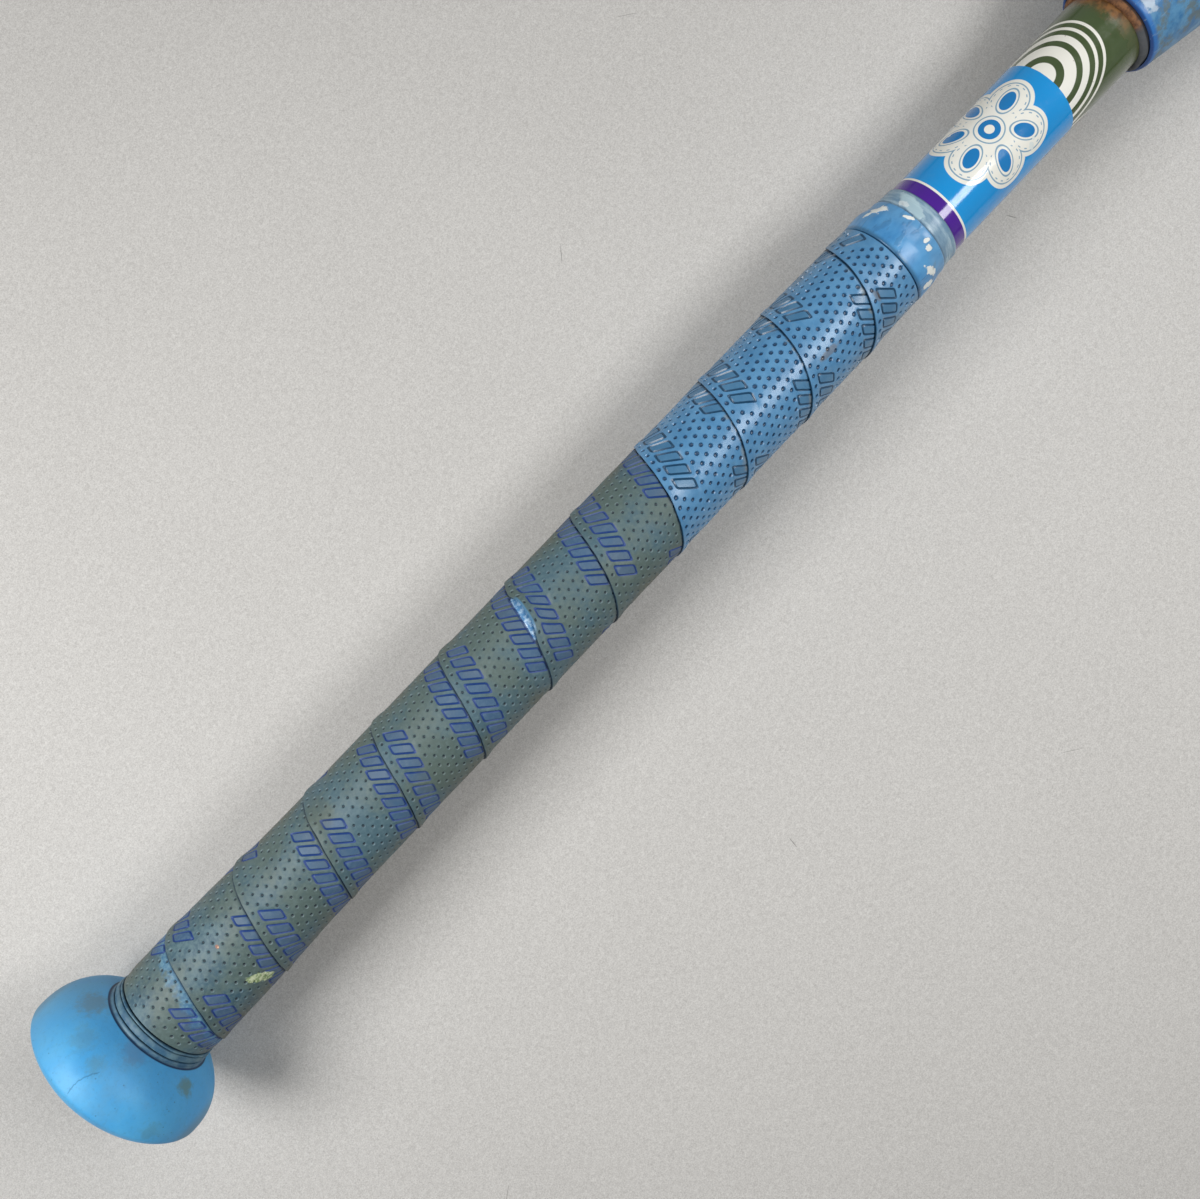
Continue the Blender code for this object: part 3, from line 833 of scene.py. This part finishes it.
def bar_ring(half_height, grow):
    """One slanted bar's outline with rounded corners, as (along, across) from its middle."""
    width, height, rounding = BAR_HALF_WIDTH + grow, half_height + grow, 0.45 + grow * 0.5
    ring = []
    for x, y, start in ((1, 1, 0), (-1, 1, 90), (-1, -1, 180), (1, -1, 270)):
        for turn in (0, 45, 90):
            angle = math.radians(start + turn)
            ring.append((
                x * (width - rounding) + rounding * math.cos(angle),
                y * (height - rounding) + rounding * math.sin(angle),
            ))
        side = (x - y) / 2
        if side:
            for share in (0.4, -0.4):
                ring.append((side * width, -side * share * height))
    return np.array([(x - BAR_SLANT * y, y) for x, y in ring])


def worn(pair, clean):
    """A measure between the dull part of the tape and the clean part."""
    return pair[0] + pair[1] * clean


def strip_features():
    """Points on the strip for its bars and dimples, with what each is, and the bars' rings."""
    draw = random.Random(7)
    first_along, last_along = -2 * TURN, 11.2 * TURN
    points, kinds, rings, middles = [], [], [], []
    for offset, centre_row, half_height in BAR_ROWS:
        group = GROUP_START + offset - GROUP_STEP * 12
        while group < last_along:
            for bar in range(BARS):
                middle = group + BAR_START + BAR_STEP * bar
                outer = bar_ring(half_height, BAR_BEVEL)
                turned, over = strip_points(middle + outer[:, 0], centre_row + outer[:, 1])
                if not fits(turned, over, 0.25).all():
                    continue
                middles.append((middle, centre_row, half_height))
                for grow, kind in BAR_RINGS:
                    ring = bar_ring(half_height, grow)
                    rings.append((len(points), len(ring)))
                    turned, over = strip_points(middle + ring[:, 0], centre_row + ring[:, 1])
                    points.extend(zip(turned, over))
                    kinds.extend([kind] * len(ring))
            group += GROUP_STEP
    middles = np.array(middles)
    turns = np.arange(DIMPLE_SIDES) * 2 * math.pi / DIMPLE_SIDES
    columns = range(math.floor(first_along / DIMPLE_STEP), math.ceil(last_along / DIMPLE_STEP))
    for row in range(ROWS):
        across = FIRST_ROW + ROW_STEP * row
        for column in columns:
            along = DIMPLE_STEP * (column + 0.5 * (row % 2)) + draw.uniform(-0.05, 0.05)
            size = 1 + draw.uniform(-0.07, 0.07)
            turned, over = strip_points(along, across)
            if not fits(turned, over, 0.8):
                continue
            lean = along - middles[:, 0] + BAR_SLANT * (across - middles[:, 1])
            beside = (np.abs(lean) < 2.3) & (np.abs(across - middles[:, 1]) < middles[:, 2] + 0.9)
            if beside.any():
                continue
            clean = float(smooth(turned / TURN, *CLEAN_FROM))
            rim, pit = worn(DIMPLE_RIM, clean) * size, worn(DIMPLE_PIT, clean) * size
            for radius, kind in ((rim, (0, 0, 0, 0)), (pit, (-worn(PIT_DEPTH, clean), 1, 0, 0))):
                at = strip_points(along + radius * np.cos(turns), across + radius * np.sin(turns))
                points.extend(zip(*at))
                kinds.extend([kind] * DIMPLE_SIDES)
            points.append((turned, over))
            kinds.append((-worn(MIDDLE_DEPTH, clean), 1, 0, 0))
    return np.array(points), np.array(kinds, float), rings


def triangles(points, loop, rings=()):
    """Triangles over flat points, whose first ones are the outline."""
    edges = [(i, (i + 1) % loop) for i in range(loop)]
    for first, count in rings:
        edges += [(first + i, first + (i + 1) % count) for i in range(count)]
    made = delaunay_2d_cdt([Vector(point) for point in points], edges, [], 1, 1e-7)
    source = [origin[0] for origin in made[3]]
    return [tuple(source[corner] for corner in face) for face in made[2]]


def lifted(turned):
    """How much of the lifted fold there is at this point of the strip's edge."""
    return np.exp(-(((turned - FOLD_TURNS * TURN - FOLD_PAST) / FOLD_REACH) ** 4))


def folded(turned, over, reach):
    """The same across the strip, fading out over this reach from its edge."""
    return lifted(turned) * np.clip(1 - over / reach, 0, 1)


def bend(turned):
    """How far the strip strays from its helix along the bat, towards the barrel on top."""
    wrapped = (turned / TURN + 0.5) % 1 - 0.5
    top = TOP_BEND + FIRST_LAP_BEND * np.exp(-((turned / FIRST_LAP_REACH) ** 2))
    place = np.maximum(edge_place(turned), DRIFT_FROM)
    drift = DRIFT - DRIFT_LOSS * ((place - DRIFT_MIDDLE) / DRIFT_REACH) ** 2
    return drift + top * np.exp(-((wrapped * 2 * math.pi / BEND_WIDTH) ** 2))


def bend_share(turned, over):
    """1 along the strip, and 0 at its cut ends, which stay straight."""
    place = edge_place(turned) + over
    return smooth(place, TAPE_FROM, TAPE_FROM + 7) * (1 - smooth(place, TAPE_TO - 11, TAPE_TO))


def next_lap(turned, over):
    """How much farther than PITCH the next turn's edge lies."""
    return (bend(turned + TURN) - bend(turned)) * bend_share(turned, over)


def strip_place(turned, over):
    """Places along the bat of points on the strip, with its edge a little wavy."""
    wavy = np.array([noise.noise(Vector((t / 4.5, 3.1, 0))) for t in turned]) * 0.2
    wavy += np.array([noise.noise(Vector((t / 1.4, 8.1, 0))) for t in turned]) * 0.07
    wavy = wavy * np.clip(1 - over / 5, 0, 1)
    strayed = bend(turned) * bend_share(turned, over)
    return edge_place(turned) + over + strayed + wavy + FOLD_SLIP * folded(turned, over, 7)


def strip_top(turned, over, place):
    """The radius of the strip's outer side: proud at its lapping edge, sunk under the next lap."""
    swell = np.array([noise.noise(Vector((t / 9, o / 7, 1.7))) for t, o in zip(turned, over)])
    radius = TAPE_RADIUS + EDGE_RISE * (1 - smooth(over, 0.4, 4.4))
    far = over - next_lap(turned, over)
    radius = radius - LAP_SINK * smooth(far, 23.4, 24.6) * (1 - 0.65 * lifted(turned + TURN))
    radius = radius + flare(place) + plump(place) + 0.09 * swell
    return radius + FOLD_RISE * folded(turned, over, 3.6)


def make_tape(finish):
    """The grip tape: one dimpled strip, each turn lapping over the one before."""
    outline = strip_outline(0.0)
    inset = strip_outline(EDGE_BEVEL)
    count = len(outline)
    features, kinds, rings = strip_features()
    flat = np.concatenate([inset, features])
    top = triangles(flat, count, [(first + count, size) for first, size in rings])
    place = strip_place(*flat.T)
    radius = strip_top(*flat.T, place)
    radius[count:] += kinds[:, 0]
    form = np.concatenate([np.zeros((count, 3)), kinds[:, 1:]])

    side_place = strip_place(*outline.T)
    side_radius = strip_top(*outline.T, side_place) - EDGE_DROP

    rows = []
    for over in UNDER_ROWS:
        turned = np.arange(-1.6 * TURN, 10.5 * TURN, UNDER_STEP)
        row = np.stack([turned, np.full(len(turned), over)], 1)
        rows.append(row[fits(*row.T, 0.35)])
    under = np.concatenate([outline] + rows)
    bottom = triangles(under, count)
    turned, over = under.T
    under_place = strip_place(turned, over)
    back = over + next_lap(turned - TURN, over + PITCH)
    lap = (LAP_ROOM + plump(under_place)) * (1 - smooth(back, 2.1, 3.5))
    lap += EDGE_GAP * (1 - smooth(over, 0, 1.0)) + FOLD_RISE * folded(turned, over, 3.6)
    under_radius = HANDLE_RADIUS + 0.07 + flare(under_place) + lap

    turned, over = np.concatenate([flat, outline, under]).T
    places = np.concatenate([place, side_place, under_place])
    radii = np.concatenate([radius, side_radius, under_radius])
    points = on_bat(places, radii, -2 * math.pi * turned / TURN)
    side, base = len(flat), len(flat) + count
    faces = list(top)
    faces += [(base + c, base + b, base + a) for a, b, c in bottom]
    for i in range(count):
        j = (i + 1) % count
        faces.append((i, side + i, side + j, j))
        faces.append((side + i, base + i, base + j, side + j))
    piece = add_piece("wound_grip", points, faces, finish, "grip_tape", sharp=36)
    near = over < MID_STRIP
    across = np.where(near, over, over - next_lap(turned, over))
    lift = np.where(near, lifted(turned), lifted(turned + TURN))
    strip = np.stack([turned / TURN, across, lift], 1)
    form = np.concatenate([form, np.zeros((len(turned) - len(form), 3))])
    for name, values in (("strip", strip), ("form", form)):
        layer = piece.data.attributes.new(name, "FLOAT_VECTOR", "POINT")
        layer.data.foreach_set("vector", values.astype(np.float32).ravel())


# The round pieces.


def make_knob():
    neck = HANDLE_RADIUS + FLARE + SEAT + KNOB_NECK_WALL
    socket = HANDLE_RADIUS + FLARE + SEAT
    side = []
    for angle in np.linspace(0, math.pi / 2, 28)[:-1]:
        done = math.cos(angle)
        swell = (1 - done**KNOB_BUTT_POWER) ** (1 / KNOB_BUTT_POWER)
        side.append((KNOB_WIDEST * (1 - done), KNOB_FACE + (KNOB_RADIUS - KNOB_FACE) * swell))
    for done in np.linspace(0, 1, 26):
        place = KNOB_WIDEST + (KNOB_LENGTH - KNOB_COLLAR - KNOB_WIDEST) * done
        side.append((place, neck + (KNOB_RADIUS - neck) * (1 - done**KNOB_NECK_POWER)))
    outline = [(0, 0), (0, 2.5)] + side
    outline += arc(KNOB_LENGTH - 0.35, neck - 0.35, 0.35, 0.35, 80, 0, 4)
    outline += [(KNOB_LENGTH, socket), (KNOB_SOCKET_FLOOR, socket), (KNOB_SOCKET_FLOOR, 0)]
    relief = uneven((0.18, 14, 5), inner=14.5, last=22)
    lathe("knob_moulding", outline, knob_finish(), "knob", 160, relief)


def make_start_strip(finish):
    """The rolled end of the tape against the knob: a wide ring, a groove and a thin ridge."""
    bore = HANDLE_RADIUS + FLARE + 0.1
    outline = [(23.72, bore)] + arc(24.15, 13.95, 0.42, 0.4, 180, 95, 5)
    outline += [(24.7, 14.42), (25.15, 14.36)] + arc(25.15, 14.05, 0.32, 0.28, 80, 10, 4)
    outline += [(25.55, 13.55), (25.68, 13.5)] + arc(25.98, 13.98, 0.26, 0.28, 175, 5, 6)
    outline += [(26.32, bore)]
    relief = uneven((0.3, 5, 2), inner=13)
    node, slot = "grip_start_strip", "tape_polymer"
    lathe("tape_start_ring", outline, finish, node, 180, relief, 50)


def start_finish():
    """The same polymer as the tape, darkened in its grooves by painted shade."""
    f = Finish("start_ring_polymer", 0.55, Specular_IOR_Level=0.45)
    mottle = f.noise(2.4, 4, seed=3, rough=0.62)
    f.colour = f.mix(f.ramp(mottle, 0.32, 0.7), (54, 94, 121), (100, 131, 143))
    # Painted shade in the grooves: darker where the radius falls below 14.1.
    f.lay(f.ramp(f.span(f.y, f.z), 14.1, 13.6) * 0.85, 0, 34, 54)
    return f.finish(None, mottle * 0.08)


def make_band():
    outline = [(286.82, 11.3), (286.82, 12.3)] + arc(287.25, 12.4, 0.43, 0.42, 175, 90, 5)
    outline += [(288.4, 12.86), (290.0, 12.87)]
    outline += curve(291.2, 296.3, 14, lambda place: 12.86 - 0.85 * smooth(place, 291.0, 296.0))
    outline += arc(296.5, 11.8, 0.46, 0.2, 85, 0, 4) + [(296.96, 11.3)]
    relief = uneven((0.16, 6, 9), (0.1, 2.2, 4), inner=11.7)
    node, slot = "finishing_band", "band_polymer"
    lathe("finish_wrap", outline, band_finish(), node, 180, relief, 50)


def make_edge_ring():
    outline = [(297.02, 11.14), (297.02, 11.6)]
    outline += curve(297.3, 301.5, 8, lambda place: 11.72 - 0.03 * (place - 297.3))
    outline += [(301.85, 11.35), (301.88, 11.14)]
    relief = uneven((0.14, 4, 6), inner=11.3)
    node, slot = "grip_edge_ring", "clear_film"
    lathe("edge_film", outline, film_finish(), node, 160, relief, 50)


def make_handle():
    outline = [(5.35, 8.95), (5.35, 12.1)] + curve(*FLARE_ENDS, 12, handle_radius)
    outline += [(place, HANDLE_RADIUS) for place in (200, 302, 320, 340, 368, 400, 422.5)]
    outline += [(422.5, 8.95)]
    lathe("painted_handle", outline, handle_finish(), "handle_tube", 180)


def make_bushing():
    seat = HANDLE_RADIUS + 0.06
    inside = np.linspace(JOINT, JOINT + 45, 12)
    lip = barrel_bore(JOINT) - SEAT - seat - 0.1
    outline = [(368.9, seat)] + arc(370.3, seat + 0.1, 1.4, lip, 180, 95, 7)
    outline += [(float(place), float(barrel_bore(place)) - SEAT) for place in inside]
    outline += [(JOINT + 45, seat)]
    relief = uneven((0.3, 4, 2), inner=11.4, last=370.2)
    node, slot = "connection_bushing", "joint_rubber"
    lathe("joint_bushing", outline, bushing_finish(), node, 144, relief)


def make_barrel():
    end = CAP - SEAT
    rim = arc(JOINT + 1.1, BARREL_RIM - 0.85, 1.1, 1.05, 180, 105, 6)
    outline = [(JOINT, float(barrel_bore(JOINT)))] + rim
    outline += curve(JOINT + 2.2, JOINT + BARREL_TAPER, 40, barrel_radius)
    outline += [(place, BARREL_RADIUS) for place in (540, 600, 660, 720, 780, 840, end - 0.4)]
    outline += [(end, BARREL_RADIUS - 0.4), (end, BARREL_RADIUS - 2.2)]
    inside = (JOINT + BARREL_TAPER, 480, 450, 420, 400, 385)
    outline += [(place, float(barrel_bore(place))) for place in inside]
    lathe("painted_barrel", outline, barrel_finish(), "barrel_shell", 192)


def make_cap():
    skirt = BARREL_RADIUS - 2.5
    turns = np.linspace(0, math.pi / 2, 14)
    dish = [(BAT_LENGTH - 5 * math.cos(a), 16 * math.sin(a)) for a in turns]
    outline = [(dish[0][0], 0)] + dish[1:-1] + arc(BAT_LENGTH - 0.5, 16.6, 0.5, 0.6, -90, 0, 4)[1:]
    outline += [(BAT_LENGTH, 19.0)] + arc(BAT_LENGTH - 6, BARREL_RADIUS - 6, 6, 6, 0, 90, 14)
    outline += [(CAP + 0.9, BARREL_RADIUS)]
    outline += arc(CAP + 0.5, BARREL_RADIUS - 0.5, 0.5, 0.5, 90, 180, 4)
    outline += [(CAP, skirt), (CAP - 14, skirt), (CAP - 14, skirt - 2.5)]
    outline += [(CAP + 1.5, skirt - 2.5), (CAP + 1.5, 0)]
    lathe("barrel_cap", outline, cap_finish(), "end_cap", 192)


make_knob()
make_start_strip(start_finish())
make_tape(tape_finish())
make_band()
make_edge_ring()
make_handle()
make_bushing()
make_barrel()
make_cap()
for node, finish in (
    ("barrel_liner", laminate_finish()),
    ("handle_butt_plug", foam_finish()),
    ("handle_foam_plug", foam_finish()),
):
    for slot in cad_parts[node].material_slots:
        slot.material = finish.material

# The floor, the camera and the lights.
scene = bpy.context.scene
mesh = bpy.data.meshes.new("floor")
mesh.from_pydata([(-4, -4, 0), (4, -4, 0), (4, 4, 0), (-4, 4, 0)], [], [(0, 1, 2, 3)])
floor = bpy.data.objects.new("floor", mesh)
scene.collection.objects.link(floor)
mesh.materials.append(floor_finish().material)


def pose(place, *axes):
    """The matrix that puts an object at a place, with its own axes along these."""
    return Matrix.Translation(place) @ Matrix(axes).transposed().to_4x4()


CAMERA = Vector((-0.2584, -0.0099, 0.3316))
TILT = math.radians(0.85)
right = Vector((RIGHT_X, RIGHT_Y, 0))
level_up = Vector((-RIGHT_Y, RIGHT_X, 0))
up = math.cos(TILT) * level_up + math.sin(TILT) * Vector((0, 0, 1))
back = math.cos(TILT) * Vector((0, 0, 1)) - math.sin(TILT) * level_up
camera_data = bpy.data.cameras.new("camera")
camera_data.lens = 36
camera_data.sensor_width = 36
camera_data.sensor_fit = "HORIZONTAL"
camera = bpy.data.objects.new("camera", camera_data)
camera.matrix_world = pose(CAMERA, right, up, back)
scene.collection.objects.link(camera)
scene.camera = camera


def panel(name, across, over, height, size, power):
    """A soft light aimed below the camera, placed along the photograph's right and up."""
    data = bpy.data.lights.new(name, "AREA")
    data.shape = "RECTANGLE"
    data.size, data.size_y = size
    data.energy = power
    light = bpy.data.objects.new(name, data)
    target = Vector((*CAMERA.xy, 0))
    light.location = target + right * across + level_up * over + Vector((0, 0, height))
    away = (light.location - target).normalized()
    side = Vector((1, 0, 0))
    side = (side - away * side.dot(away)).normalized()
    light.matrix_world = pose(light.location, side, away.cross(side), away)
    scene.collection.objects.link(light)


panel("left_panel", -0.339, -0.065, 0.42, (0.24, 0.24), 2.02)
panel("right_panel", 0.291, 0.032, 0.42, (0.24, 0.14), 1.1)
panel("far_panel", 0.5, 0.5, 0.52, (0.3, 0.3), 1.3)

# The background is pale to the camera and in what is glossy or clear, and dim as a light.
AMBIENT, PALE = 0.05, 0.35
world = bpy.data.worlds.new("studio")
scene.world = world
world.use_nodes = True
sky = Nodes(world.node_tree)
rays = sky.node("LightPath").outputs
seen = Value(sky, rays["Is Camera Ray"])
for kind in ("Is Glossy Ray", "Is Transmission Ray"):
    seen = sky.most(seen, Value(sky, rays[kind]))
background = world.node_tree.nodes["Background"].inputs
sky.put(background["Color"], (1, 1, 1, 1))
sky.put(background["Strength"], sky.blend(seen, AMBIENT, PALE))

scene.view_settings.view_transform = "Standard"
